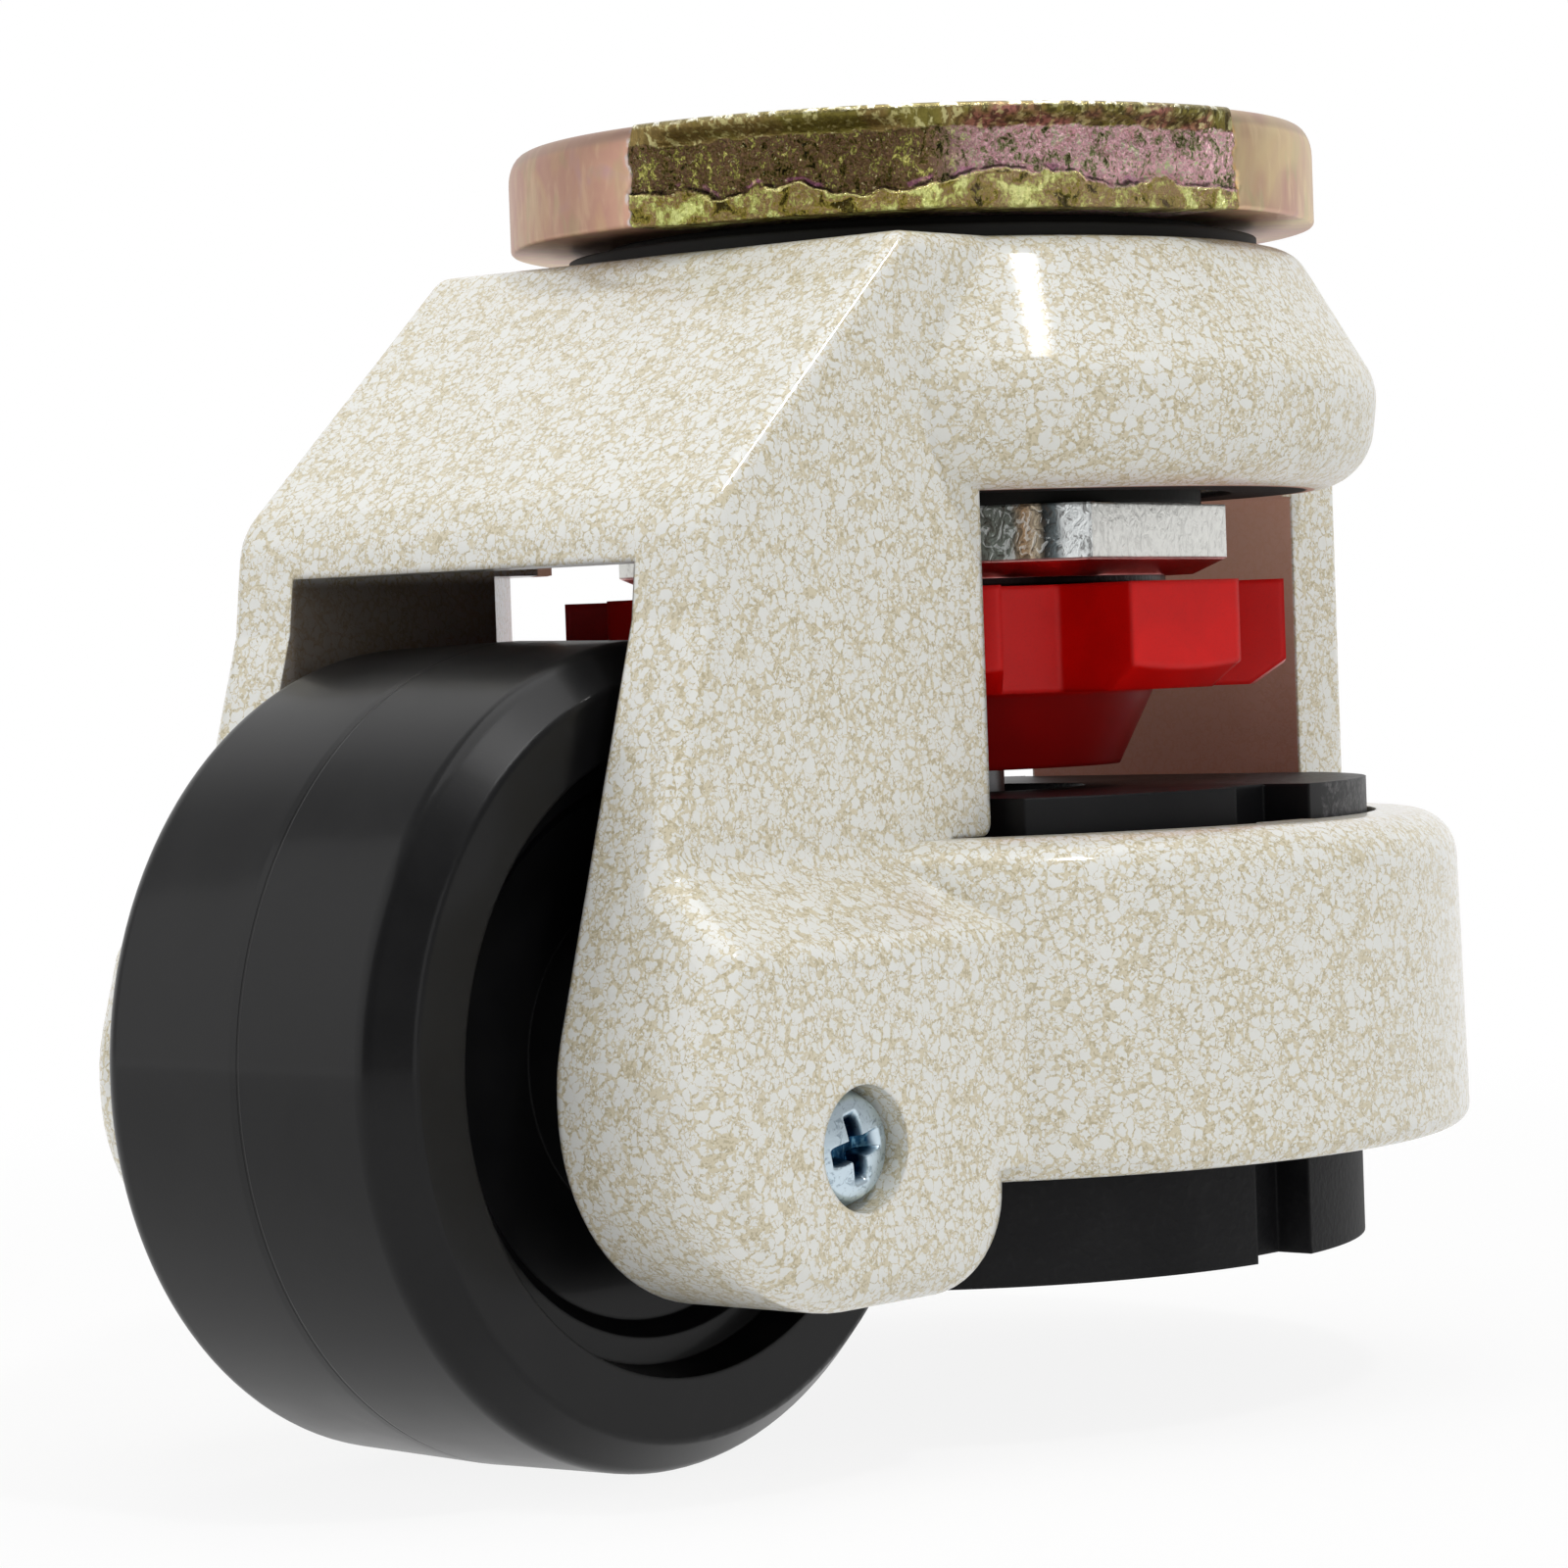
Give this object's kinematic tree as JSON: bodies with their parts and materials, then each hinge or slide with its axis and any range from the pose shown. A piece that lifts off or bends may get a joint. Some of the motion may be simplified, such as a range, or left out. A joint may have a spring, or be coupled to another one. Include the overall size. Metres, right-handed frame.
{
  "type": "levelling castor",
  "caption": "Levelling castor with a cast swivel frame, a small solid wheel and a screw-down levelling pad worked by a toothed thumb wheel; hangs from a threaded hole.",
  "frame": {"origin": "centre of the threaded mounting hole, in the plane of the mounting flange's top face", "axes": "+Z out of the mounting hole, along the swivel axis, away from the castor; -X towards the wheel at rest; Y along the wheel's axle"},
  "size_m": [0.0977, 0.0696, 0.0819],
  "materials": {
    "flange_zinc": "yellow passivated zinc, part sheared, part turned",
    "steel": "bright steel",
    "nut_zinc": "bright zinc",
    "screw_zinc": "blue zinc",
    "cage_brass": "stamped",
    "frame_paint": "glossy ivory paint with a tan speckle over die-cast aluminium",
    "seal_rubber": "matte",
    "wheel_nylon": "semi-gloss black nylon",
    "bush_plastic": "natural",
    "adjuster_red": "semi-gloss red plastic",
    "pad_nylon": "black nylon",
    "pad_rubber": "grained black rubber"
  },
  "bodies": {
    "mount": {"mount_flange": "flange_zinc", "kingpin": "steel", "upper_race": "steel", "lower_race": "steel", "kingpin_nut": "nut_zinc"},
    "upper_ball_ring": {"upper_balls": "steel", "upper_cage": "cage_brass"},
    "lower_ball_ring": {"lower_balls": "steel", "lower_cage": "cage_brass"},
    "swivel_frame": {"frame_casting": "frame_paint", "upper_cup": "steel", "lower_cup": "steel", "dust_seal": "seal_rubber", "axle": "steel", "keeper_screw_near": "screw_zinc", "keeper_screw_far": "screw_zinc", "axle_washers": "steel"},
    "road_wheel": {"wheel": "wheel_nylon", "wheel_bushes": "bush_plastic"},
    "adjuster": {"adjuster_wheel": "adjuster_red", "adjuster_sleeve": "steel", "sleeve_clip": "steel", "thrust_washer": "steel"},
    "pad": {"pad_body": "pad_nylon", "pad_rubber": "pad_rubber", "levelling_stud": "steel", "stud_nut": "steel"}
  },
  "joints": [
    {"name": "swivel", "type": "hinge", "parent": "mount", "child": "swivel_frame", "pos_m": [0, 0, -0.0154], "axis": [0, 0, 1], "continuous": true},
    {"name": "upper_balls_orbit", "type": "hinge", "parent": "mount", "child": "upper_ball_ring", "pos_m": [0, 0, -0.0094], "axis": [0, 0, 1], "continuous": true},
    {"name": "lower_balls_orbit", "type": "hinge", "parent": "mount", "child": "lower_ball_ring", "pos_m": [0, 0, -0.0214], "axis": [0, 0, 1], "continuous": true},
    {"name": "wheel_spin", "type": "hinge", "parent": "swivel_frame", "child": "road_wheel", "pos_m": [-0.0379, 0.00065, -0.0569], "axis": [0, 1, 0], "continuous": true},
    {"name": "adjuster_turn", "type": "hinge", "parent": "swivel_frame", "child": "adjuster", "pos_m": [0, 0, -0.033], "axis": [0, 0, 1], "range_deg": [0, 2880.1]},
    {"name": "pad_travel", "type": "slide", "parent": "swivel_frame", "child": "pad", "axis": [0, 0, 1], "range_m": [-0.012, 0]}
  ],
  "couplings": [
    {"joint": "upper_balls_orbit", "follows": "swivel", "ratio": 0.5},
    {"joint": "lower_balls_orbit", "follows": "swivel", "ratio": 0.5},
    {"joint": "adjuster_turn", "follows": "pad_travel", "rad_per_m": -4188.8}
  ]
}
